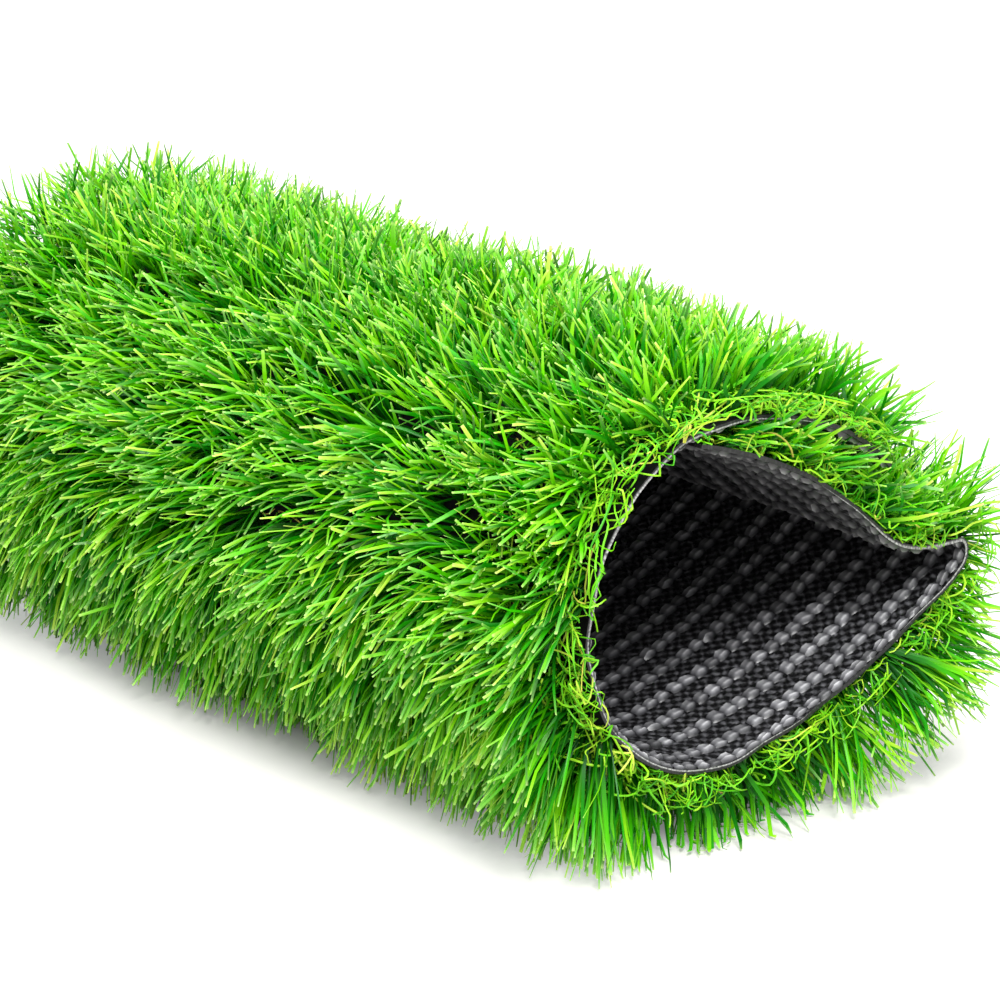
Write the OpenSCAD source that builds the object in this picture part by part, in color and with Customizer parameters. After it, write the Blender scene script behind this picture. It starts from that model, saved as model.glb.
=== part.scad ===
// Roll of artificial turf, lying loosely curled on the floor with its grass outward.
// It is one strip of turf: over the crown, round the main turn, along the base,
// round a tight fold, and back as a flap that ends under the outer turn.
// X runs along the roll, Z is up and the floor is Z = 0. Sizes are in millimetres.

/* [Turf] */
// Width of the strip, which is the length of the roll
turf_width = 400; // [200:10:600]
// Thickness of the woven backing with its coat
backing_thickness = 1.6; // [1:0.1:2.5]
// Height of the grass above the backing
pile_height = 35; // [25:1:42]
// Bare backing between a cut edge and the first tufts
edge_margin = 5; // [2:0.5:10]
// How far the blades beside a cut edge lean out
edge_splay = 9; // [0:0.5:15]
// Spacing of the rows of tufts
row_gauge = 14.3; // [9:0.1:20]
// Width of a row of stitches on the back
row_width = 5; // [3:0.5:7]
// Height of a row of stitches on the back
row_height = 0.8; // [0.3:0.1:1.2]
// Depth of the furrows that the grass leaves between its rows
furrow_depth = 10; // [6:0.5:14]
// Width of a furrow at the tips of the grass
furrow_width = 7; // [4:0.5:8.5]

/* [Curl] */
// Radius of the main turn, to the middle of the backing
turn_radius = 63.5; // [58:0.5:74]
// Radius of the flatter crown over the flap
crown_radius = 114; // [100:1:130]
// Sweep of the crown, from its free edge to the main turn
crown_sweep = 48.5; // [40:0.5:54]
// Lean past straight up where the crown runs into the main turn
crown_lean = 5; // [0:0.5:10]
// Radius of the nearly flat base
base_radius = 340; // [280:5:400]
// Sweep of the base, from the main turn to the fold
base_sweep = 20; // [17:0.5:23]
// Lean past straight down where the main turn runs into the base
base_lean = 14; // [10:0.5:17]
// How far the roll's weight presses the pile down
pile_press = 7; // [5:0.5:10]

/* [Flap] */
// Radius of the fold at the end of the base
fold_radius = 7; // [5:0.5:9]
// Level run of the flap behind the fold
flap_run = 13; // [8:1:18]
// Radius of the bend that lifts the flap
rise_radius = 40; // [34:1:48]
// Radius of the bend that settles the flap under the crown
settle_radius = 220; // [190:5:260]
// Lean past straight up of the place where the flap ends under the main turn
flap_end_lean = 12; // [6:0.5:18]
// Crushed grass between the end of the flap and the outer turn
flap_gap = 3; // [2:0.5:5]
// Turn of the blades that droop past the free edge of the crown
edge_droop = 80; // [60:1:100]

/* [Hidden] */
$fn = 180;

// Slack between the crushed grass and the outer turn above it
touch = 0.3;

// Hair of an angle by which the bends lap at their seams, so that the strip stays whole
lap = 0.00001;

function toward(angle) = [cos(angle), sin(angle)];
function angle_of(v) = atan2(v.y, v.x);
function full_turn(angle) = angle - 360 * floor(angle / 360);

// Half the backing, and how far the stitches stand from its middle
skin = backing_thickness / 2;
stitch_depth = skin + row_height;

// Directions in which the bends meet, seen from their centres: 0 is to the right, 90 is up
crown_side = 90 + crown_lean;
free_side = crown_side - crown_sweep;
base_side = 270 + base_lean;
fold_side = base_side + base_sweep;

// The base and the fold, measured from the centre of the main turn
base_offset = (turn_radius - base_radius) * toward(base_side);
fold_offset = base_offset + (base_radius - fold_radius) * toward(fold_side);

// The main turn is placed so that the roll is centred on Y and its pile is on the floor
turn_y = (turn_radius - fold_radius - fold_offset.x) / 2;
turn_z = pile_height + skin + turn_radius - pile_press;
turn_centre = [turn_y, turn_z];
crown_centre = turn_centre + (turn_radius - crown_radius) * toward(crown_side);
free_edge = crown_centre + crown_radius * toward(free_side);
base_centre = turn_centre + base_offset;
fold_centre = turn_centre + fold_offset;

// The flap leaves the fold level and bends up into a bend that comes down at its end
run_end = fold_centre + [-flap_run, fold_radius];
rise_centre = run_end + [0, rise_radius];
flap_end_radius = turn_radius - stitch_depth - flap_gap - skin;
flap_end = turn_centre + flap_end_radius * toward(90 + flap_end_lean);
span = norm(flap_end - rise_centre);
ahead = (flap_end - rise_centre) / span;
bends = rise_radius + settle_radius;
along = (bends * bends - settle_radius * settle_radius + span * span) / (2 * span);
across = sqrt(bends * bends - along * along);
join_side = round(10 * full_turn(angle_of(along * ahead + across * [-ahead.y, ahead.x]))) / 10;
settle_centre = rise_centre + bends * toward(join_side);

// The settling bend runs on until its end has the crushed grass above it
to_turn = turn_centre - settle_centre;
reach = norm(to_turn);
meet = (reach * reach + settle_radius * settle_radius - flap_end_radius * flap_end_radius)
    / (2 * reach * settle_radius);
settle_sweep = full_turn(angle_of(to_turn) + acos(meet) - join_side + 180);

// The blades on the flap crowd together inside its bend
flap_pile = min(pile_height, rise_radius - backing_thickness);

// Rows of stitches across the strip
first_row = edge_margin + row_width / 2;
row_count = floor((turf_width - 2 * first_row) / row_gauge) + 1;
row_start = -(row_count - 1) * row_gauge / 2;

// Section of the backing across the strip: x toward the grass, y across the strip
module backing_profile() {
    edge = turf_width / 2;
    stitches = [
        for (i = [0 : row_count - 1])
            for (corner = [[0, -0.5], [1, -0.3], [1, 0.3], [0, 0.5]])
                [-skin - row_height * corner.x, row_start + i * row_gauge + row_width * corner.y]
    ];
    polygon(concat([[-skin, -edge]], stitches, [[-skin, edge], [skin, edge], [skin, -edge]]));
}

// Section of the pile across the strip: its ends lean out from the first tufts, and its rows part at their tips
module pile_profile(height = pile_height) {
    root = turf_width / 2 - edge_margin;
    top = skin + height;
    tip = root + edge_splay;
    furrows = [
        for (i = [0 : row_count - 2])
            for (corner = [[0, -0.5], [1, 0], [0, 0.5]])
                [top - furrow_depth * corner.x, row_start + (i + 0.5) * row_gauge + furrow_width * corner.y]
    ];
    polygon(concat([[skin, -root], [top, -tip]], furrows, [[top, tip], [skin, root]]));
}

// Moves to a point of the curl: to the nearest micrometre, and then the rest
module at(point) {
    near = [round(1000 * point.x) / 1000, round(1000 * point.y) / 1000, 0];
    translate(near)
        translate([point.x - near.x, point.y - near.y, 0])
            children();
}

// A bend with the grass on its outside
module outward_bend(centre, radius, side, sweep) {
    at(centre)
        rotate_extrude(angle = sweep + 2 * lap, start = side - lap)
            translate([radius, 0])
                children();
}

// A bend with the grass on its inside
module inward_bend(centre, radius, side, sweep) {
    at(centre)
        rotate_extrude(angle = sweep + 2 * lap, start = side - lap)
            translate([radius, 0])
                mirror([1, 0])
                    children();
}

// A level run with the grass on top, from a point toward positive Y
module level_run(start, length) {
    at(start)
        rotate([90, 0, 90])
            linear_extrude(length)
                children();
}

// The outer turn, from the free edge of the crown to the fold
module along_outer_turn() {
    outward_bend(crown_centre, crown_radius, free_side, crown_sweep) children();
    outward_bend(turn_centre, turn_radius, crown_side, base_side - crown_side) children();
    outward_bend(base_centre, base_radius, base_side, base_sweep) children();
    outward_bend(fold_centre, fold_radius, fold_side, 450 - fold_side) children();
}

// The flap, from the fold to its end under the outer turn
module along_flap() {
    level_run(run_end, flap_run) children();
    inward_bend(rise_centre, rise_radius, join_side, 270 - join_side) children();
    outward_bend(settle_centre, settle_radius, join_side - 180, settle_sweep) children();
}

// The room that the backs of the crown and the main turn take above the flap
module over_the_flap() {
    room = [2 * pile_height, 2 * turf_width];
    outward_bend(crown_centre, crown_radius - stitch_depth - touch, free_side, crown_sweep + 10)
        translate([0, -room.y / 2]) square(room);
    outward_bend(turn_centre, turn_radius - stitch_depth - touch, crown_side, 90)
        translate([0, -room.y / 2]) square(room);
}

// The grass that droops past the free edge of the crown
module drooping_edge() {
    outward_bend(free_edge, 0, free_side - edge_droop, edge_droop) pile_profile();
}

module below_floor() {
    depth = 2 * pile_height;
    half = 4 * turn_radius + 4 * pile_height;
    translate([-half, -depth, -turf_width]) cube([2 * half, depth, 2 * turf_width]);
}

// Turns the curled section so that the roll lies along X
module lying() {
    rotate([90, 0, 90]) children();
}

module backing() {
    color([0.13, 0.13, 0.13])
        lying() {
            along_outer_turn() backing_profile();
            along_flap() backing_profile();
        }
}

module pile() {
    color([0.34, 0.62, 0.12])
        lying()
            difference() {
                union() {
                    along_outer_turn() pile_profile();
                    drooping_edge();
                    difference() {
                        along_flap() pile_profile(flap_pile);
                        over_the_flap();
                    }
                }
                below_floor();
            }
}

backing();
pile();
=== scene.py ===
import math

import bpy
import numpy as np
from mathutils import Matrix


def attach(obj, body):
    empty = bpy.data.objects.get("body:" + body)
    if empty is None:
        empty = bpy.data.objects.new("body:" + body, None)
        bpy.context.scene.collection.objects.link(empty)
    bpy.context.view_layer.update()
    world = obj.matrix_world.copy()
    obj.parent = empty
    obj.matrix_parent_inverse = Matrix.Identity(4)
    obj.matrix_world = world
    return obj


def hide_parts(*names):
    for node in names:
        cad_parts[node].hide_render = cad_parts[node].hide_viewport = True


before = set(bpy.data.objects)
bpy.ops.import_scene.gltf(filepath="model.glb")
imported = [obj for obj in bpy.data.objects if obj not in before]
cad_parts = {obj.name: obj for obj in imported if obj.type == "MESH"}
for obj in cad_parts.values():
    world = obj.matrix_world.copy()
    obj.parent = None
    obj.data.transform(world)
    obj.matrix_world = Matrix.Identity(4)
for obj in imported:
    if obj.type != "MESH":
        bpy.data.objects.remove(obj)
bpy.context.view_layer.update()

# Sizes of the turf and its curl
TURF_WIDTH = 0.400
BACKING_THICKNESS = 0.0016
PILE_HEIGHT = 0.035
ROW_GAUGE = 0.0143
ROW_COUNT = 27
STITCH_PITCH = 0.00635
FIRST_STITCH = 0.004
WARP_PITCH = 0.0060
WEFT_PITCH = 0.0050

TURN_RADIUS = 0.0635
CROWN_RADIUS = 0.114
CROWN_SWEEP = 48.5
CROWN_LEAN = 5
BASE_RADIUS = 0.340
BASE_SWEEP = 20
BASE_LEAN = 14
PILE_PRESS = 0.007
FOLD_RADIUS = 0.007
FLAP_RUN = 0.013
RISE_RADIUS = 0.040
SETTLE_RADIUS = 0.220
RISE_SIDE = 228.9
SETTLE_SWEEP = 27.23

HALF_WIDTH = TURF_WIDTH / 2
SKIN = BACKING_THICKNESS / 2
TUFT_ROWS = (np.arange(ROW_COUNT) - (ROW_COUNT - 1) / 2) * ROW_GAUGE

# A full circle in radians, to the thousandth
FULL_CIRCLE = 6.283

# Shares of the backing's map: the hollow side fills most of its width,
# with narrow bands for the grass side and the cut rim
CLOTH_SHARE = 0.90
GRASS_SIDE_START = 0.905
GRASS_SIDE_SHARE = 0.02
RIM_START = 0.93
RIM_SHARE = 0.05


def toward(degrees):
    """Unit direction in the section, as (y, z): 0 is to the right and 90 is up."""
    return np.array([math.cos(math.radians(degrees)), math.sin(math.radians(degrees))])


def curl_of_the_strip():
    """The bends that the strip follows from its free edge: centre, radius, first direction and sweep."""
    crown_side, base_side = 90 + CROWN_LEAN, 270 + BASE_LEAN
    fold_side = base_side + BASE_SWEEP
    base_offset = (TURN_RADIUS - BASE_RADIUS) * toward(base_side)
    fold_offset = base_offset + (BASE_RADIUS - FOLD_RADIUS) * toward(fold_side)
    turn = np.array([
        (TURN_RADIUS - FOLD_RADIUS - fold_offset[0]) / 2,
        PILE_HEIGHT + SKIN + TURN_RADIUS - PILE_PRESS,
    ])
    crown = turn + (TURN_RADIUS - CROWN_RADIUS) * toward(crown_side)
    fold = turn + fold_offset
    rise = fold + [-FLAP_RUN, FOLD_RADIUS + RISE_RADIUS]
    settle = rise + (RISE_RADIUS + SETTLE_RADIUS) * toward(RISE_SIDE)
    return {
        "crown": (crown, CROWN_RADIUS, crown_side - CROWN_SWEEP, CROWN_SWEEP),
        "turn": (turn, TURN_RADIUS, crown_side, base_side - crown_side),
        "base": (turn + base_offset, BASE_RADIUS, base_side, BASE_SWEEP),
        "fold": (fold, FOLD_RADIUS, fold_side, 450 - fold_side),
        "run": (fold + [0, FOLD_RADIUS], 0, 180, FLAP_RUN),
        "rise": (rise, RISE_RADIUS, 270, RISE_SIDE - 270),
        "settle": (settle, SETTLE_RADIUS, RISE_SIDE - 180, SETTLE_SWEEP),
    }


CURL = curl_of_the_strip()


def run_length(bend):
    """Length of the strip in one bend."""
    _, radius, _, sweep = CURL[bend]
    return radius * math.radians(abs(sweep)) if radius else sweep


STARTS, STRIP_LENGTH = {}, 0.0
for bend in CURL:
    STARTS[bend] = STRIP_LENGTH
    STRIP_LENGTH += run_length(bend)
HALF_TURN = STARTS["turn"] + run_length("turn") / 2
HALF_BASE = STARTS["base"] + run_length("base") / 2
BEFORE_FOLD = STARTS["fold"] - 0.003


def on_strip(along):
    """Middle of the backing, direction of travel and grass side at distances along the strip."""
    along = np.asarray(along, float)
    spot, travel = np.zeros((2, *along.shape, 2))
    for bend, (centre, radius, side, sweep) in CURL.items():
        here = along >= STARTS[bend] if STARTS[bend] else np.ones(along.shape, bool)
        gone = along[here] - STARTS[bend]
        if radius:
            way = math.copysign(1, sweep)
            angle = math.radians(side) + way * gone / radius
            out = np.stack([np.cos(angle), np.sin(angle)], -1)
            spot[here] = centre + radius * out
            travel[here] = way * np.stack([-out[..., 1], out[..., 0]], -1)
        else:
            travel[here] = toward(side)
            spot[here] = centre + gone[..., None] * toward(side)
    return spot, travel, np.stack([travel[..., 1], -travel[..., 0]], -1)


def waves(x, along, seed, count=7, shortest=0.03, longest=0.14):
    """Slow smooth ups and downs over the strip, about 1 high."""
    rng = np.random.default_rng(seed)
    total = np.zeros(np.broadcast(x, along).shape)
    for _ in range(count):
        length = rng.uniform(shortest, longest)
        turn = rng.uniform(0, FULL_CIRCLE)
        phase = rng.uniform(0, FULL_CIRCLE)
        total += np.sin(FULL_CIRCLE / length * (x * math.cos(turn) + along * math.sin(turn)) + phase)
    return total / math.sqrt(count / 2)


def ripple(x, along):
    """How far the limp backing stands off its even curl, toward the grass."""
    return 0.00045 * waves(x, along, 5, shortest=0.05)


def solid_place(x, along, height):
    """Points at a height over the middle of the backing, in the roll's frame."""
    spot, _, out = on_strip(along)
    flat = spot + (height + ripple(x, along))[..., None] * out
    return np.stack([x, flat[..., 0], flat[..., 1]], -1)


def bearing(pairs):
    """Direction of (y, z) pairs in degrees: 0 is to the right and 90 is up."""
    return np.degrees(np.arctan2(pairs[..., 1], pairs[..., 0])) % 360


def stitches_before(bare):
    """Distances along the strip of the stitches in a row, up to the bare stretch at the flap's end."""
    return np.arange(FIRST_STITCH, STRIP_LENGTH - bare, STITCH_PITCH)


def in_rows(rows, stitches):
    """Row and distance along the strip of every stitch in the rows."""
    return (part.ravel() for part in np.meshgrid(rows, stitches, indexing="ij"))


# Modelling helpers
def deselect_all():
    if bpy.context.mode != "OBJECT":
        bpy.ops.object.mode_set(mode="OBJECT")
    bpy.ops.object.select_all(action="DESELECT")


def points_of(mesh):
    found = np.empty(len(mesh.vertices) * 3)
    mesh.vertices.foreach_get("co", found)
    return found.reshape(-1, 3)


def choose_points(piece, chosen):
    """Selects the vertices that are marked in chosen, and goes into edit mode."""
    if bpy.context.mode != "OBJECT":
        bpy.ops.object.mode_set(mode="OBJECT")
    bpy.ops.object.mode_set(mode="EDIT")
    bpy.ops.mesh.select_mode(type="VERT")
    bpy.ops.mesh.select_all(action="DESELECT")
    bpy.ops.object.mode_set(mode="OBJECT")
    piece.data.vertices.foreach_set("select", np.asarray(chosen, bool))
    bpy.ops.object.mode_set(mode="EDIT")


def lift_points(piece, chosen, move):
    """Moves the vertices that are marked in chosen."""
    choose_points(piece, chosen)
    bpy.ops.transform.translate(value=move)
    bpy.ops.object.mode_set(mode="OBJECT")


def faces_of(mesh):
    """The corners of each face of a small pattern mesh."""
    return [list(face.vertices) for face in mesh.polygons]


def joined_copies(name, places, faces, maps, material):
    """One mesh of many copies, from the place and the map place of each point of each copy."""
    copies, points = places.shape[:2]
    sizes = np.array([len(face) for face in faces])
    corners = np.concatenate([np.array(face) for face in faces])
    corners = (np.arange(copies)[:, None] * points + corners).ravel()
    sizes = np.tile(sizes, copies)
    mesh = bpy.data.meshes.new(name)
    mesh.vertices.add(copies * points)
    mesh.vertices.foreach_set("co", places.ravel())
    mesh.loops.add(len(corners))
    mesh.loops.foreach_set("vertex_index", corners)
    mesh.polygons.add(len(sizes))
    mesh.polygons.foreach_set("loop_start", np.concatenate([[0], np.cumsum(sizes)[:-1]]))
    mesh.update(calc_edges=True)
    own_map = mesh.uv_layers.new(name="OFBake")
    own_map.uv.foreach_set("vector", maps.reshape(-1, 2)[corners].ravel())
    mesh.validate()
    mesh.materials.append(material)
    piece = bpy.data.objects.new(name, mesh)
    bpy.context.collection.objects.link(piece)
    return piece


def smooth_by_angle(piece, degrees):
    deselect_all()
    piece.select_set(True)
    bpy.context.view_layer.objects.active = piece
    bpy.ops.object.shade_smooth_by_angle(angle=math.radians(degrees))


# Materials
def tint(red, green, blue):
    """A colour written as it shows on a screen, 0 to 255, as Blender's linear values."""
    shown = np.array([red, green, blue]) / 255
    return (*np.where(shown < 0.04045, shown / 12.92, ((shown + 0.055) / 1.055) ** 2.4), 1)


class Finish:
    """A material with one Principled shader, and short ways to add nodes to it."""

    def __init__(self, name, **values):
        self.material = bpy.data.materials.new(name)
        self.material.use_nodes = True
        self.tree = self.material.node_tree
        self.shader = self.tree.nodes["Principled BSDF"]
        for socket, value in values.items():
            self.shader.inputs[socket.replace("_", " ")].default_value = value

    def node(self, kind, settings=None, **links):
        """Adds a node. Its sockets go by name, or as i0, i1 and so on by number."""
        made = self.tree.nodes.new(kind)
        for key, value in (settings or {}).items():
            setattr(made, key, value)
        for socket, value in links.items():
            numbered = socket[0] == "i" and socket[1:].isdigit()
            self.put(made.inputs[int(socket[1:]) if numbered else socket], value)
        return made

    def put(self, socket, value):
        """Links another node's output to a socket, or sets the socket to a value."""
        if isinstance(value, bpy.types.NodeSocket):
            self.tree.links.new(value, socket)
        else:
            socket.default_value = value

    def own_map(self):
        """The piece's own map, and its two parts."""
        spread = self.node("ShaderNodeUVMap", {"uv_map": "OFBake"})
        parts = self.node("ShaderNodeSeparateXYZ", Vector=spread.outputs["UV"])
        return spread.outputs["UV"], parts.outputs["X"], parts.outputs["Y"]

    def ramp(self, value, stops):
        """A row of colours or grey levels, read off at a value."""
        made = self.node("ShaderNodeValToRGB", Fac=value)
        ramp = made.color_ramp
        while len(ramp.elements) < len(stops):
            ramp.elements.new(0.5)
        for element, (place, colour) in zip(ramp.elements, stops):
            element.position = place
            element.color = colour if hasattr(colour, "__len__") else (colour, colour, colour, 1)
        return made.outputs["Color"]

    def maths(self, operation, first, second=0.0):
        made = self.node("ShaderNodeMath", {"operation": operation}, i0=first, i1=second)
        return made.outputs[0]

    def mix(self, kind, factor, first, second):
        # Sockets 0, 6 and 7 of a Mix node are its factor and its two colours, and output 2 is its colour.
        made = self.node("ShaderNodeMix", {"data_type": "RGBA", "blend_type": kind})
        self.put(made.inputs[0], factor)
        self.put(made.inputs[6], first)
        self.put(made.inputs[7], second)
        return made.outputs[2]

    def noise(self, vector, scale, detail=2.0):
        made = self.node("ShaderNodeTexNoise", Vector=vector, Scale=scale, Detail=detail)
        return made.outputs["Fac"]

    def colour(self, value):
        self.put(self.shader.inputs["Base Color"], value)


def blade_finish():
    """Extruded green ribbon: its tone lies across its map and its height up it."""
    finish = Finish("grass_blade", Roughness=0.36, Specular_IOR_Level=0.2)
    spread, tone, height = finish.own_map()
    tones = finish.ramp(tone, [
        (0.00, tint(4, 116, 4)),
        (0.20, tint(44, 176, 4)),
        (0.50, tint(118, 226, 6)),
        (0.78, tint(168, 246, 14)),
        (1.00, tint(214, 252, 80)),
    ])
    # Painted shade: the blades darken toward their roots, where they shade one another, and reach full
    # colour toward the tips.
    shade = finish.ramp(height, [
        (0.00, (0.00, 0.08, 0.01, 1)),
        (0.32, (0.06, 0.30, 0.06, 1)),
        (0.68, (0.62, 0.83, 0.48, 1)),
        (0.94, 1.0),
    ])
    shaded = finish.mix("MULTIPLY", 1.0, tones, shade)
    stretch = finish.node("ShaderNodeMapping", Vector=spread, Scale=(160.0, 5.0, 1.0))
    streaks = finish.ramp(finish.noise(stretch.outputs["Vector"], 1.0), [(0.3, 0.8), (0.7, 1.0)])
    streaked = finish.mix("MULTIPLY", 1.0, shaded, streaks)
    cut = finish.ramp(height, [(0.76, 0.0), (0.96, 0.18), (0.99, 0.5)])
    finish.colour(finish.mix("MIX", cut, streaked, tint(226, 250, 160)))
    return finish.material


def thatch_finish():
    """Curled fine yarn, from yellow-green to straw."""
    finish = Finish("curled_thatch", Roughness=0.5, Specular_IOR_Level=0.4)
    _, tone, height = finish.own_map()
    tones = finish.ramp(tone, [
        (0.0, tint(50, 164, 8)),
        (0.35, tint(118, 218, 14)),
        (0.7, tint(176, 240, 36)),
        (0.9, tint(214, 232, 84)),
        (1.0, tint(190, 156, 72)),
    ])
    # Painted shade: the curls are darker low down, near the backing among the blades.
    shade = finish.ramp(height, [(0.0, 0.55), (0.3, 0.95), (1.0, 1.0)])
    finish.colour(finish.mix("MULTIPLY", 1.0, tones, shade))
    return finish.material


def backing_finish():
    """Black woven cloth with a thin rubber coat, on a map of the flat strip."""
    finish = Finish("woven_backing", Roughness=0.5, Specular_IOR_Level=0.45)
    spread, across, along = finish.own_map()
    flat_width = TURF_WIDTH / CLOTH_SHARE
    size = finish.node("ShaderNodeMapping", Vector=spread, Scale=(flat_width, STRIP_LENGTH, 1.0))
    coat = finish.noise(size.outputs["Vector"], 420.0, 4.0)
    wander = finish.maths("MULTIPLY", finish.noise(size.outputs["Vector"], 240.0), 5.0)
    warp = finish.maths("MULTIPLY", across, FULL_CIRCLE * flat_width / WARP_PITCH)
    weft = finish.maths("MULTIPLY", along, FULL_CIRCLE * STRIP_LENGTH / WEFT_PITCH)
    crossings = [finish.maths("SINE", finish.maths("ADD", yarn, wander)) for yarn in (warp, weft)]
    relief = finish.maths("ADD", finish.maths("MULTIPLY", finish.maths("MULTIPLY", *crossings), 0.5), 0.5)
    # Painted highlight and shade on the weave: the colour follows the relief, grey on the raised crossings
    # and near black in the hollows between them.
    yarn = finish.ramp(relief, [(0.4, tint(2, 2, 3)), (0.9, tint(104, 104, 108))])
    patches = finish.ramp(coat, [(0.35, 0.35), (0.65, 1.0)])
    finish.colour(finish.mix("MULTIPLY", 1.0, yarn, patches))
    height = finish.maths("ADD", relief, coat)
    bump = finish.node("ShaderNodeBump", Strength=0.9, Distance=0.0008, Height=height)
    finish.put(finish.shader.inputs["Normal"], bump.outputs["Normal"])
    return finish.material


def cut_finish():
    """The raw cut of the backing: black ends of yarn, with a pale line along the hollow that is a painted
    highlight, the glint of the coat's edge.
    """
    finish = Finish("cut_edge", Roughness=0.55)
    spread, across, _ = finish.own_map()
    flat_width = BACKING_THICKNESS / RIM_SHARE
    size = finish.node("ShaderNodeMapping", Vector=spread, Scale=(flat_width, STRIP_LENGTH, 1.0))
    specks = finish.noise(size.outputs["Vector"], 900.0, 3.0)
    yarn = finish.ramp(specks, [(0.48, tint(10, 10, 11)), (0.72, tint(56, 56, 58))])
    # Painted highlight: pale grey specks of a glint on the coat's edge, laid along the hollow side of the
    # rim.
    coat = finish.ramp(specks, [(0.34, tint(84, 84, 86)), (0.60, tint(206, 206, 206))])
    line = finish.ramp(across, [
        (RIM_START + 0.26 * RIM_SHARE, 1.0),
        (RIM_START + 0.36 * RIM_SHARE, 0.0),
    ])
    finish.colour(finish.mix("MIX", line, yarn, coat))
    return finish.material


def grass_side_finish():
    """The plain black coat between the tufts."""
    finish = Finish("coat_under_grass", Roughness=0.7, Specular_IOR_Level=0.1)
    finish.colour(tint(9, 9, 10))
    return finish.material


def stitch_finish():
    """Yarn under the dark rubber coat, which thins on the crests. The crests are also painted lighter as a
    highlight, and the stitches on the flap darker as painted shade.
    """
    finish = Finish(
        "coated_stitch", Roughness=0.36, Specular_IOR_Level=0.6, Coat_Weight=0.15, Coat_Roughness=0.3,
    )
    _, tone, crest = finish.own_map()
    # The crests are lighter partly where the coat is worn thin and partly as a painted highlight, the sheen
    # of the coat.
    worn = finish.ramp(crest, [
        (0.0, tint(8, 8, 9)),
        (0.35, tint(84, 84, 88)),
        (0.7, tint(156, 156, 160)),
        (1.0, tint(236, 236, 238)),
    ])
    # The tone varies at random from stitch to stitch; the low tones of the stitches on the flap are painted
    # shade under the turn.
    shade = finish.ramp(tone, [(0.0, 0.2), (0.3, 0.6), (1.0, 1.0)])
    finish.colour(finish.mix("MULTIPLY", 1.0, worn, shade))
    return finish.material


# The backing
def distance_along(points):
    """How far along the strip points of the middle of the backing lie."""
    sample = np.linspace(0, STRIP_LENGTH, 6001)
    spots = on_strip(sample)[0]
    flat, back = np.unique(points[:, 1:].round(6), axis=0, return_inverse=True)
    nearest = ((flat[:, None] - spots) ** 2).sum(-1).argmin(1)
    return sample[nearest][back.ravel()]


def woven_backing(finishes):
    """One edge across the strip, spun through each bend of the curl and given its thickness."""
    free_edge = on_strip(0.0)[0]
    deselect_all()
    bpy.ops.mesh.primitive_plane_add(size=TURF_WIDTH, location=(0, 0, 0))
    backing = bpy.context.active_object
    backing.name = backing.data.name = "turf_backing"
    choose_points(backing, points_of(backing.data)[:, 1] > 0)
    bpy.ops.mesh.delete(type="VERT")
    bpy.ops.mesh.select_all(action="SELECT")
    bpy.ops.mesh.subdivide(number_cuts=ROW_COUNT)
    bpy.ops.mesh.select_all(action="SELECT")
    bpy.ops.transform.translate(value=(0, free_edge[0] + HALF_WIDTH, free_edge[1]))
    steps = {"crown": 26, "turn": 64, "base": 18, "fold": 18, "rise": 12, "settle": 18}
    for bend, (centre, radius, _, sweep) in CURL.items():
        if radius:
            bpy.ops.mesh.spin(
                steps=steps[bend], angle=-math.radians(sweep), center=(0, *centre), axis=(1, 0, 0),
            )
        else:
            for _ in range(3):
                bpy.ops.mesh.extrude_edges_move(TRANSFORM_OT_translate={"value": (0, -sweep / 3, 0)})
    bpy.ops.mesh.select_all(action="SELECT")
    bpy.ops.mesh.remove_doubles(threshold=0.00002)
    bpy.ops.mesh.normals_make_consistent(inside=False)
    bpy.ops.object.mode_set(mode="OBJECT")

    even = points_of(backing.data)
    along = distance_along(even)
    ragged = 0.0007 * waves(even[:, 0], along, 11, shortest=0.02)
    across = even[:, 0] + ragged * (np.abs(even[:, 0]) / HALF_WIDTH) ** 8
    backing.data.vertices.foreach_set("co", solid_place(across, along, np.zeros(len(along))).ravel())
    for finish in finishes:
        backing.data.materials.append(finish)

    # The faces that the wall adds are the hollow side, and those along its edges are the rim.
    wall = backing.modifiers.new("thickness", "SOLIDIFY")
    wall.thickness = BACKING_THICKNESS
    wall.offset = 0
    wall.material_offset_rim = 1
    wall.material_offset = 2
    bpy.ops.object.modifier_apply(modifier=wall.name)
    lay_out_map(backing)
    smooth_by_angle(backing, 35)
    return backing


def corners_of(mesh):
    """The vertex and the material of each face corner."""
    vertex = np.empty(len(mesh.loops), int)
    material = np.empty(len(mesh.polygons), int)
    sizes = np.empty(len(mesh.polygons), int)
    mesh.loops.foreach_get("vertex_index", vertex)
    mesh.polygons.foreach_get("material_index", material)
    mesh.polygons.foreach_get("loop_total", sizes)
    return vertex, np.repeat(material, sizes)


def height_over_middle(points, along):
    """How far points lie from the middle of the backing, toward the grass."""
    spot, _, out = on_strip(along)
    return ((points[:, 1:] - spot) * out).sum(-1)


def lay_out_map(backing):
    """Maps the hollow side as the flat strip, and the grass side and the rim in bands beside it."""
    mesh = backing.data
    points = points_of(mesh)
    along = distance_along(points)
    vertex, material = corners_of(mesh)
    sideways = CLOTH_SHARE * np.clip(points[:, 0] / TURF_WIDTH + 0.5, 0, 1)
    flat = np.stack([sideways, along / STRIP_LENGTH], -1)[vertex]
    across = np.clip(height_over_middle(points, along) / BACKING_THICKNESS + 0.5, 0, 1)[vertex]
    lengthwise = np.abs(points[:, 0])[vertex] > HALF_WIDTH - 0.003
    run = np.where(lengthwise, flat[:, 1], flat[:, 0] / CLOTH_SHARE)
    grass_side, rim = material == 0, material == 1
    flat[rim] = np.stack([RIM_START + RIM_SHARE * across, run], -1)[rim]
    flat[grass_side, 0] = GRASS_SIDE_START + GRASS_SIDE_SHARE * flat[grass_side, 0]
    own_map = mesh.uv_layers.active or mesh.uv_layers.new()
    own_map.name = "OFBake"
    own_map.uv.foreach_set("vector", flat.ravel())


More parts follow.
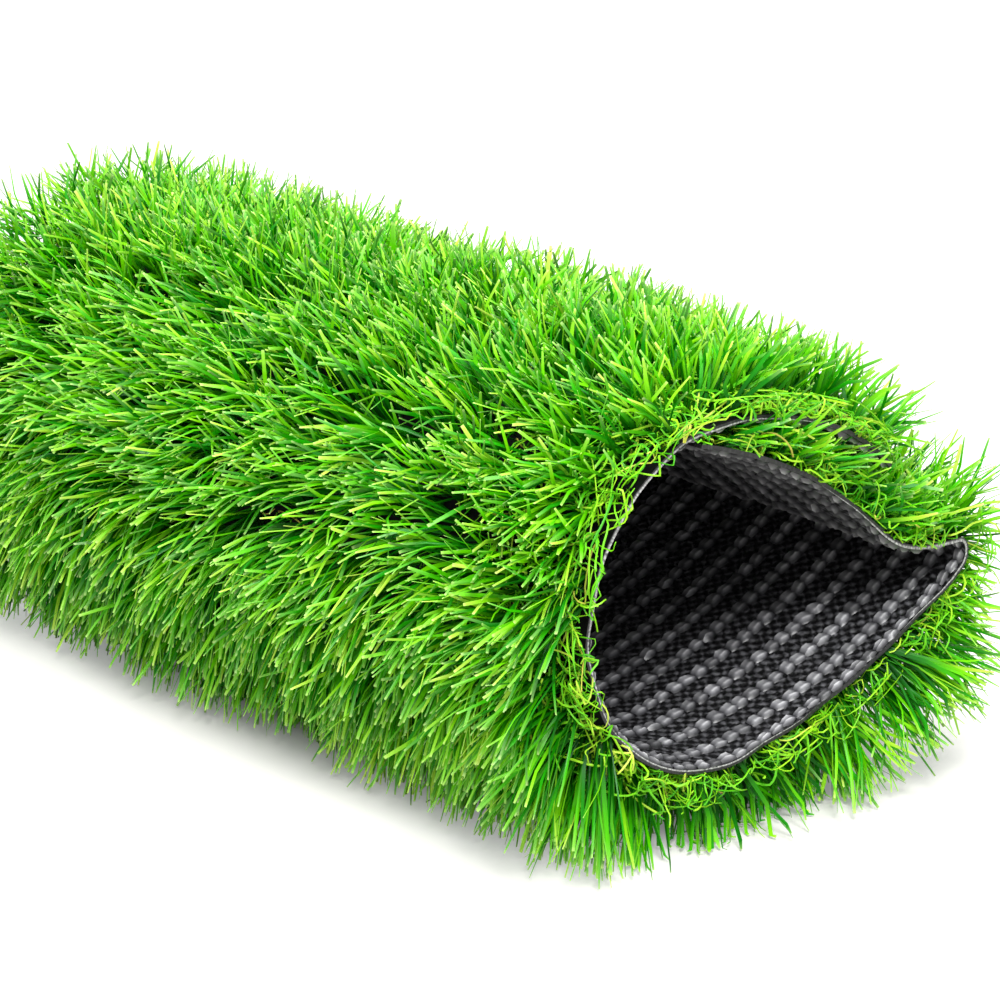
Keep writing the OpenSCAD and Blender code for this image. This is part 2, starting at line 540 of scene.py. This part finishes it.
# The stitches on its back
def stitch_pattern():
    """One stitch lying flat: two strands side by side, low where it meets the next ones in its row."""
    deselect_all()
    bpy.ops.mesh.primitive_grid_add(x_subdivisions=4, y_subdivisions=3, size=2)
    stitch = bpy.context.active_object
    grid = points_of(stitch.data)
    column, step = np.rint((grid[:, 0] + 1) * 2), np.rint((grid[:, 1] + 1) * 1.5)
    for ridge, height in ((1, 0.94), (2, 0.68), (3, 1.0)):
        for place, share in enumerate((0.34, 1.0, 1.0, 0.34)):
            lift_points(stitch, (column == ridge) & (step == place), (0, 0, height * share))
    for place in (0, 3):
        choose_points(stitch, step == place)
        bpy.ops.transform.resize(value=(0.78, 1, 1))
    bpy.ops.mesh.select_all(action="SELECT")
    bpy.ops.mesh.region_to_loop()
    bpy.ops.mesh.edge_face_add()
    bpy.ops.mesh.select_all(action="SELECT")
    bpy.ops.mesh.normals_make_consistent(inside=False)
    bpy.ops.object.mode_set(mode="OBJECT")
    shape, faces = points_of(stitch.data), faces_of(stitch.data)
    bpy.data.objects.remove(stitch)
    return shape, faces


def stitch_rows(finish):
    """Rows of stitches over the whole inner face, with a cut row along both ends of the roll."""
    rng = np.random.default_rng(21)
    shape, faces = stitch_pattern()
    cut_row = HALF_WIDTH - 0.0029
    row, stitch = in_rows([-cut_row, *TUFT_ROWS, cut_row], stitches_before(FIRST_STITCH))
    count = len(row)
    kept_width = np.where(np.abs(row) > TUFT_ROWS[-1], 0.7, 1)[:, None]
    half_length = 0.00335 * rng.uniform(0.95, 1.05, (count, 1))
    half_width = 0.0034 * rng.uniform(0.88, 1.12, (count, 1)) * kept_width
    height = 0.0017 * rng.uniform(0.8, 1.2, (count, 1))
    skew = rng.normal(0, 0.10, (count, 1))
    lift = 1 + 0.12 * rng.normal(size=(count, len(shape))) * (shape[:, 2] > 0.1)
    along = stitch[:, None] + rng.normal(0, 0.00025, (count, 1)) + shape[:, 1] * half_length
    x = row[:, None] + rng.normal(0, 0.0002, (count, 1)) + (shape[:, 0] + skew * shape[:, 1]) * half_width
    sunk = 0.0001
    places = solid_place(x, along, sunk - SKIN - height * shape[:, 2] * lift)
    # Painted shade: the stitches on the flap, under the turn, get a much darker tone.
    dark = np.where(stitch > STARTS["rise"] - 0.006, 0.15, 1.0)[:, None]
    tone = dark * rng.uniform(0.02, 0.94, (count, 1)) + 0.02 * (shape[:, 0] + 1)
    crest = np.clip(shape[:, 2], 0, 1) * 0.9 + 0.05 + 0.04 * shape[:, 1]
    maps = np.stack([tone, np.broadcast_to(crest, tone.shape)], -1)
    # The pattern stands on the other side of the cloth, so its faces are turned over.
    piece = joined_copies("stitch_rows", places, [face[::-1] for face in faces], maps, finish)
    smooth_by_angle(piece, 60)
    return piece


# The grass
# Shares of a blade's length in its steps, and the bare stretch at the end of the flap
BLADE_STEPS = (0.38, 0.34, 0.28)
FLAP_END_BARE = 0.012
# From the middle of the roll: where blades begin to splay, the broken row, and the limit of the splay
NEAR_END = 0.150
BROKEN_ROW = 0.1940
LONGEST_SPLAY = 0.212


def upright_yarn(shares):
    """One upright three-sided yarn in steps of the given shares, with a flat back and a square cut tip."""
    deselect_all()
    bpy.ops.mesh.primitive_circle_add(vertices=3, radius=1, fill_type="NGON")
    yarn = bpy.context.active_object
    for share in shares:
        bpy.ops.object.mode_set(mode="EDIT")
        bpy.ops.mesh.extrude_region_move(TRANSFORM_OT_translate={"value": (0, 0, share)})
    bpy.ops.mesh.select_all(action="SELECT")
    bpy.ops.mesh.normals_make_consistent(inside=False)
    bpy.ops.object.mode_set(mode="OBJECT")
    shape, faces = points_of(yarn.data), faces_of(yarn.data)
    bpy.data.objects.remove(yarn)
    return shape, faces


def unit(vectors):
    """The vectors at a length of one."""
    return vectors / np.maximum(np.linalg.norm(vectors, axis=-1, keepdims=True), 1e-12)


def in_section(pairs):
    """(y, z) pairs as directions in the roll's frame."""
    return np.concatenate([np.zeros((*pairs.shape[:-1], 1)), pairs], -1)


def room_over_flap(along):
    """Height that the outer turn leaves over the flap, or more than the pile where it is open."""
    spot, _, out = on_strip(along)
    room = np.full(along.shape, 0.06)
    for bend, first, last in (("crown", 40, 96), ("turn", 94, 200)):
        centre, radius = CURL[bend][:2]
        inside = radius - SKIN - 0.0018
        offset = spot - centre
        dot = (offset * out).sum(-1)
        reach = -dot + np.sqrt(np.maximum(dot**2 - (offset**2).sum(-1) + inside**2, 0))
        hit = offset + reach[..., None] * out
        angle = bearing(hit)
        meets = (angle > first) & (angle < last)
        room = np.where(meets, np.minimum(room, reach), room)
    return room


def held_under(places):
    """Keeps blades of the flap under the backs of the crown and the main turn."""
    for bend, first, last in (("crown", 46.5, 97), ("turn", 93, 200)):
        centre, radius = CURL[bend][:2]
        inside = radius - SKIN - 0.0016
        offset = places[:, 1:] - centre
        far = np.linalg.norm(offset, axis=-1)
        angle = bearing(offset)
        between_ends = np.abs(places[:, 0]) < HALF_WIDTH + 0.0005
        over = (far > inside) & (angle > first) & (angle < last) & between_ends
        places[over, 1:] = centre + offset[over] * (inside / far[over])[:, None]
    return places


def march(root, way, bend, lengths, shares, low, under):
    """The middle line of each blade, step by step, bent where it meets the floor or the turn above it."""
    line, here = [root], root
    for step, share in enumerate(shares):
        ahead = unit(way + bend * step)
        there = here + ahead * (lengths * share)[:, None]
        sunk = there[:, 2] < low
        drop = np.clip(low[sunk] - here[sunk, 2], -lengths[sunk] * share * 0.98, 0)
        level = unit(ahead[sunk, :2] + 1e-6)
        reach = 0.15 * np.sqrt((lengths[sunk] * share) ** 2 - drop**2)
        there[sunk, :2] = here[sunk, :2] + level * reach[:, None]
        there[sunk, 2] = here[sunk, 2] + drop
        there[under] = held_under(there[under])
        line.append(there)
        here = there
    return np.stack(line, 1)


def tuft_places(rng, first, last):
    """Row and distance along the strip of each tuft: even rows, and a broken row beside each cut end."""
    stitches = stitches_before(FLAP_END_BARE)
    stitches = stitches[(stitches >= first) & (stitches < last)]
    row, stitch = in_rows(TUFT_ROWS, stitches)
    broken = np.repeat([-BROKEN_ROW, BROKEN_ROW], len(stitches))
    kept = rng.uniform(size=len(broken)) < 0.25
    return np.concatenate([row, broken[kept]]), np.concatenate([stitch, np.tile(stitches, 2)[kept]])


def blade_leans(rng, x, along, out, tuft, end):
    """How far each blade leans across and along the strip, per unit of height."""
    count = len(x)
    # The blades of a tuft lean together, some stand wild, and slow waves run over the whole pile.
    lean_tuft = rng.normal(0, 0.26, (tuft[-1] + 1, 2))
    wild = rng.uniform(size=count) < 0.14 + 0.12 * end
    jitter = rng.normal(0, 0.15, (count, 2)) + wild[:, None] * rng.normal(0, 0.55, (count, 2))
    lean_x = -0.12 - 0.22 * np.clip(out[:, 1], -0.5, 1) + 0.20 * waves(x, along, 31)
    lean_x += lean_tuft[tuft, 0] + jitter[:, 0]
    # Near the cut ends the blades splay out, most of all on the flap and toward the fold.
    on_flap = along > STARTS["rise"] - 0.01
    at_end = np.minimum(end, 1)
    toward_fold = np.clip((along - STARTS["base"] - 0.02) / 0.05, 0, 1)
    by_fold = toward_fold * (along < STARTS["run"]) * at_end
    splay = rng.uniform(0.0, 0.6, count) - 0.1 * (along < HALF_TURN)
    splay += on_flap * rng.uniform(-0.1, 0.8, count)
    splay += by_fold * rng.uniform(0.1, 0.7, count)
    lean_x = lean_x * (1 - 0.4 * end) + np.sign(x) * end * splay
    lean_s = 0.18 * waves(x, along, 32) + lean_tuft[tuft, 1] + jitter[:, 1]
    lean_s += by_fold * (along < STARTS["fold"]) * rng.normal(0.6, 0.3, count)
    # Blades on the fold stand in disorder, and those by the free edge droop over it.
    lean_s += 0.45 * rng.normal(size=count) * ((along > STARTS["fold"]) & (along < STARTS["rise"]))
    lean_s -= np.clip(1 - along / 0.022, 0, 1) * rng.uniform(0.0, 1.1, count)
    # The turn above lays the blades of the flap back, in less order at its ends.
    pressed = np.clip(1 - room_over_flap(along) / PILE_HEIGHT, 0, 1)
    laid = (0.3 + 1.1 * pressed) * (1 - 0.7 * at_end) + 0.5 * at_end * rng.normal(size=count)
    return lean_x, lean_s - np.where(on_flap, laid, 0)


def blade_lengths(rng, x, along, out, end):
    """Length of each blade: longer where it hangs to the floor, shorter on the fold and by the open end."""
    at_end = np.minimum(end, 1)
    hanging = np.exp(-(((bearing(out) - 238) / 22) ** 2))
    lower_front = hanging * (0.28 + 0.16 * np.clip((0.1 - x) / 0.15, 0, 1))
    near_fold = np.clip(1 - (STARTS["fold"] - along) / 0.03, 0, 1) * (along < STARTS["fold"])
    lower_end = (0.34 - 0.34 * near_fold) * at_end * np.clip(-1.5 * out[:, 1], 0, 1)
    on_top = np.clip((out[:, 1] - 0.1) / 0.4, 0, 1) * (along < STARTS["base"])
    worn = 0.15 * np.clip((x - 0.08) / 0.1, 0, 1) - 0.12 * np.clip(-x / HALF_WIDTH, 0, 1)
    on_fold = (along > STARTS["fold"]) & (along < STARTS["run"])
    flap_end = at_end * (along > STARTS["rise"])
    lengths = PILE_HEIGHT * rng.uniform(0.92, 1.2, len(x))
    lengths *= 1 + np.maximum(lower_front, lower_end) - on_top * worn - 0.24 * near_fold
    lengths *= 1 - 0.25 * at_end * near_fold - flap_end * rng.uniform(0.0, 0.45, len(x))
    return lengths * np.where(on_fold, 0.62, 1.0)


def grass(name, seed, first, last, blades_each, blades_at_end, finish):
    """The blades of all tufts between two distances along the strip, as one mesh."""
    rng = np.random.default_rng(seed)
    shape, faces = upright_yarn(BLADE_STEPS)
    row, stitch = tuft_places(rng, first, last)
    tuft = np.repeat(np.arange(len(row)), np.where(np.abs(row) > NEAR_END, blades_at_end, blades_each))
    count = len(tuft)
    x = row[tuft] + rng.normal(0, 0.0014, count)
    on_fold = (stitch > BEFORE_FOLD) & (stitch < STARTS["rise"])
    scatter = np.where(on_fold, 0.0030, 0.0013)[tuft]
    along = np.clip(stitch[tuft] + scatter * rng.normal(size=count), 0.0005, STRIP_LENGTH - 0.0005)
    _, travel, out = on_strip(along)
    root = solid_place(x, along, np.full(count, SKIN * 0.6))

    end = np.clip((np.abs(x) - NEAR_END) / 0.036, 0, 1.2) ** 2
    lean_x, lean_s = blade_leans(rng, x, along, out, tuft, end)
    way = in_section(out) + lean_s[:, None] * in_section(travel)
    way[:, 0] += lean_x
    hangs = rng.uniform(0.3, 0.7, count) * np.exp(-(((bearing(out) - 220) / 30) ** 2))
    way[:, 2] -= rng.uniform(0.0, 0.2, count) + 0.6 * hangs
    way = unit(way)
    bend = rng.normal(0, 0.2, (count, 1)) * in_section(travel)
    bend[:, 0] += rng.normal(0, 0.2, count)
    bend[:, 2] -= rng.uniform(0.02, 0.2, count) + hangs
    lengths = blade_lengths(rng, x, along, out, end)
    low = rng.uniform(0.0008, 0.0024, count)
    line = march(root, way, bend, lengths, BLADE_STEPS, low, along > STARTS["rise"] - 0.01)
    past = np.clip(np.abs(line[..., 0]) - LONGEST_SPLAY, 0, None)
    line[..., 0] -= np.sign(line[..., 0]) * (past - 0.009 * np.tanh(past / 0.009))

    run = unit(np.gradient(line, axis=1))
    side = unit(np.cross(run[:, 0], unit(rng.normal(size=(count, 3)))))[:, None]
    side = unit(side - (side * run).sum(-1, keepdims=True) * run)
    face = np.cross(run, side)
    tip = rng.uniform(0.4, 0.8, count)
    ones = np.ones(count)
    thin = rng.uniform(size=count) < 0.2
    width = np.where(thin, rng.uniform(0.0006, 0.0010, count), rng.uniform(0.0011, 0.0017, count))
    width = width[:, None] * np.stack([0.8 * ones, ones, 0.95 * ones, tip], -1)
    rib = rng.uniform(0.00022, 0.00040, count)[:, None] * np.stack([ones, ones, 0.9 * ones, tip], -1)

    level = np.searchsorted([0.2, 0.5, 0.9], shape[:, 2])
    spread = shape[:, 0] / np.abs(shape[:, 0]).max()
    ridge = (shape[:, 1] > 0.5).astype(float)
    places = (
        line[:, level]
        + side[:, level] * (spread * width[:, level] / 2)[..., None]
        + face[:, level] * (ridge * rib[:, level])[..., None]
    )
    tone = 0.5 + rng.normal(0, 0.11, len(row))[tuft] + rng.normal(0, 0.22, count)
    dark = rng.uniform(size=count) < 0.16
    tone = np.where(dark, rng.uniform(0.03, 0.22, count), np.clip(tone, 0.03, 0.97))
    maps = np.stack(np.broadcast_arrays(tone[:, None] + 0.012 * spread, shape[:, 2]), -1)
    piece = joined_copies(name, places, faces, maps, finish)
    smooth_by_angle(piece, 62)
    return piece


# The thatch
def turned(vectors, axes, angles):
    """Vectors turned about unit axes."""
    cos, sin = np.cos(angles)[:, None], np.sin(angles)[:, None]
    dot = (vectors * axes).sum(-1, keepdims=True)
    return vectors * cos + np.cross(axes, vectors) * sin + axes * dot * (1 - cos)


def thatch(name, seed, rows, each, steps, finish):
    """Curls of fine yarn that stand between the blades, along the given rows."""
    rng = np.random.default_rng(seed)
    shape, faces = upright_yarn([1] * steps)
    row, stitch = in_rows(rows, stitches_before(FIRST_STITCH))
    most = math.ceil(each)
    picked = np.repeat(np.arange(len(row)), most)
    picked = picked[rng.uniform(size=len(picked)) < each / most]
    count = len(picked)
    x = row[picked] + rng.normal(0, 0.0012, count)
    x = np.clip(x, -HALF_WIDTH + 0.001, HALF_WIDTH - 0.001)
    along = np.clip(stitch[picked] + rng.normal(0, 0.002, count), 0.0005, STRIP_LENGTH - 0.0005)

    # The curl is drawn over flat cloth, as (across, along, up), and then set on the strip.
    way = unit(np.stack([rng.normal(0, 0.5, count), rng.normal(0, 0.5, count), np.ones(count)], -1))
    end = np.clip((np.abs(x) - 0.16) / 0.03, 0, 1)
    way[:, 0] += np.sign(x) * 0.35 * end
    axis = unit(rng.normal(size=(count, 3)))
    step = rng.uniform(0.024, 0.044, count) / steps
    tight = rng.choice([-1, 1], count) * rng.uniform(0.22, 0.7, count) * 10 / steps
    here = np.zeros((count, 3))
    line = [here]
    for _ in range(steps):
        way = unit(turned(way, axis, tight * rng.uniform(0.6, 1.4, count)))
        axis = unit(axis + 0.22 * rng.normal(size=(count, 3)))
        here = here + way * step[:, None]
        line.append(here)
    line = np.stack(line, 1)
    tallest = np.minimum(rng.uniform(0.009, 0.029, count), room_over_flap(along) - 0.0025)
    tallest = np.where(along > STARTS["run"], tallest, np.maximum(tallest, 0.009))[:, None]
    up = np.abs(line[..., 2])
    up = SKIN * 0.5 + np.maximum(tallest, 0.0012) * np.tanh(up / np.maximum(tallest, 0.0012))
    past = np.clip(np.abs(x[:, None] + line[..., 0]) - HALF_WIDTH - 0.004, 0, None)
    shift = line[..., 0] - np.sign(x)[:, None] * past * 0.8
    follows = along[:, None] > STARTS["run"]
    followed = np.minimum(along[:, None] + follows * line[..., 1], STRIP_LENGTH - 0.0005)
    spot, travel, out = on_strip(followed)
    up += ripple(x, along)[:, None]
    flat = spot + np.where(follows, 0, line[..., 1])[..., None] * travel + up[..., None] * out
    line = np.concatenate([(x[:, None] + shift)[..., None], flat], -1)
    line[..., 2] = np.maximum(line[..., 2], 0.001)

    run = unit(np.gradient(line, axis=1))
    side = unit(np.cross(run, unit(rng.normal(size=(count, 1, 3)))))
    face = np.cross(run, side)
    level = np.rint(shape[:, 2]).astype(int)
    thick = rng.uniform(0.00030, 0.00050, count)[:, None, None]
    places = (
        line[:, level]
        + side[:, level] * shape[:, 0, None] * thick
        + face[:, level] * shape[:, 1, None] * thick * 0.6
    )
    tone = np.clip(rng.beta(1.6, 2.0, count), 0.03, 0.97)
    maps = np.stack(np.broadcast_arrays(tone[:, None] + 0.01 * shape[:, 0], level / steps), -1)
    piece = joined_copies(name, places, faces, maps, finish)
    smooth_by_angle(piece, 100)
    return piece


# Build the roll
blade, curled = blade_finish(), thatch_finish()
backing = woven_backing([grass_side_finish(), cut_finish(), backing_finish()])
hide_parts("backing")
stitches = stitch_rows(stitch_finish())

# Name, seed, start and end along the strip, and the blades in a tuft: in general, and near the cut ends
plots = (
    ("grass_crown", 1, 0, STARTS["turn"], 11, 12),
    ("grass_upper_turn", 2, STARTS["turn"], HALF_TURN, 11, 13),
    ("grass_lower_turn", 3, HALF_TURN, STARTS["base"], 13, 17),
    ("grass_under_roll", 4, STARTS["base"], HALF_BASE, 7, 28),
    ("grass_base", 5, HALF_BASE, BEFORE_FOLD, 12, 28),
    ("grass_fold", 6, BEFORE_FOLD, STARTS["rise"], 28, 24),
    ("grass_flap", 7, STARTS["rise"], STRIP_LENGTH, 4, 11),
)
turf = [grass(*plot, blade) for plot in plots]
turf.append(thatch("thatch_open_end", 8, [*TUFT_ROWS[-3:], BROKEN_ROW], 5.4, 10, curled))
turf.append(thatch("thatch_far_end", 9, [*TUFT_ROWS[:2], -BROKEN_ROW], 2.5, 12, curled))
turf.append(thatch("thatch_between", 10, TUFT_ROWS[2:-3], 0.35, 8, curled))
for piece in turf:
    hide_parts("pile")
for piece in [backing, stitches, *turf]:
    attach(piece, "root")


# Studio
def studio_floor():
    """A pale floor that takes the roll's shadow and glows up to white away from it. Round the roll the glow
    fades to nothing, leaving a pool of painted shade on the floor.
    """
    deselect_all()
    bpy.ops.mesh.primitive_plane_add(size=12, location=(0, 0, 0))
    floor = bpy.context.active_object
    floor.name = "floor"
    finish = Finish("white_floor", Roughness=0.9, Specular_IOR_Level=0.0)
    finish.colour(tint(210, 207, 203))
    path = finish.node("ShaderNodeLightPath")
    shown = finish.maths("MAXIMUM", path.outputs["Is Camera Ray"], path.outputs["Is Glossy Ray"])
    shown = finish.maths("MAXIMUM", shown, path.outputs["Is Transmission Ray"])
    spot = finish.node("ShaderNodeTexCoord").outputs["Object"]
    spot = finish.node("ShaderNodeMapping", Vector=spot, Scale=(0.5, 1.0, 1.0)).outputs["Vector"]
    away = finish.node("ShaderNodeVectorMath", {"operation": "LENGTH"}, i0=spot).outputs["Value"]
    # Painted shade: the glow is held off the floor round and under the roll, so it shows darker there;
    # further out it whitens the floor.
    rising = finish.ramp(away, [(0.07, 0.0), (0.125, 0.42), (0.50, 0.60), (1.0, 0.90)])
    strength = finish.maths("MULTIPLY", shown, rising)
    glow = finish.node("ShaderNodeEmission", Color=(1, 1, 1, 1), Strength=strength)
    both = finish.node("ShaderNodeAddShader", i0=finish.shader.outputs[0], i1=glow.outputs[0])
    finish.tree.links.new(both.outputs[0], finish.tree.nodes["Material Output"].inputs["Surface"])
    floor.data.materials.append(finish.material)


def soft_lamp(name, place, aim, size, watts):
    """A round softbox that faces a point."""
    data = bpy.data.lights.new(name, "AREA")
    data.shape = "DISK"
    data.size = size
    data.energy = watts
    lamp = bpy.data.objects.new(name, data)
    lamp.location = place
    way = np.array(aim, float) - place
    tilt = math.acos(-way[2] / np.linalg.norm(way))
    swing = math.atan2(way[0], -way[1]) + math.pi
    lamp.rotation_euler = (tilt, 0, swing)
    bpy.context.collection.objects.link(lamp)


def white_room():
    """Even light from all round, which shows as plain white behind the roll."""
    world = bpy.data.worlds.new("white_room")
    bpy.context.scene.world = world
    world.use_nodes = True
    tree = world.node_tree
    path = tree.nodes.new("ShaderNodeLightPath")
    seen = path.outputs["Is Camera Ray"]
    for ray in ("Is Glossy Ray", "Is Transmission Ray"):
        either = tree.nodes.new("ShaderNodeMath")
        either.operation = "MAXIMUM"
        tree.links.new(seen, either.inputs[0])
        tree.links.new(path.outputs[ray], either.inputs[1])
        seen = either.outputs[0]
    level = tree.nodes.new("ShaderNodeMix")
    tree.links.new(seen, level.inputs["Factor"])
    level.inputs["A"].default_value = 0.46
    level.inputs["B"].default_value = 1.0
    tree.links.new(level.outputs["Result"], tree.nodes["Background"].inputs["Strength"])
    tree.nodes["Background"].inputs["Color"].default_value = (1, 1, 1, 1)


studio_floor()
white_room()
soft_lamp("softbox_above", (0.0, 0.10, 1.6), (0, 0, 0.08), 1.5, 25)
soft_lamp("softbox_open_end", (1.00, -0.62, 1.40), (0.1, 0, 0.08), 0.7, 31)

view = bpy.data.cameras.new("camera")
view.lens = 115.45
view.sensor_width = 36
camera = bpy.data.objects.new("camera", view)
camera.location = (0.9718, -0.7770, 0.4455)
camera.rotation_euler = (math.radians(90 - 16.5), 0, math.radians(50.2))
bpy.context.collection.objects.link(camera)
scene = bpy.context.scene
scene.camera = camera
scene.view_settings.view_transform = "Standard"
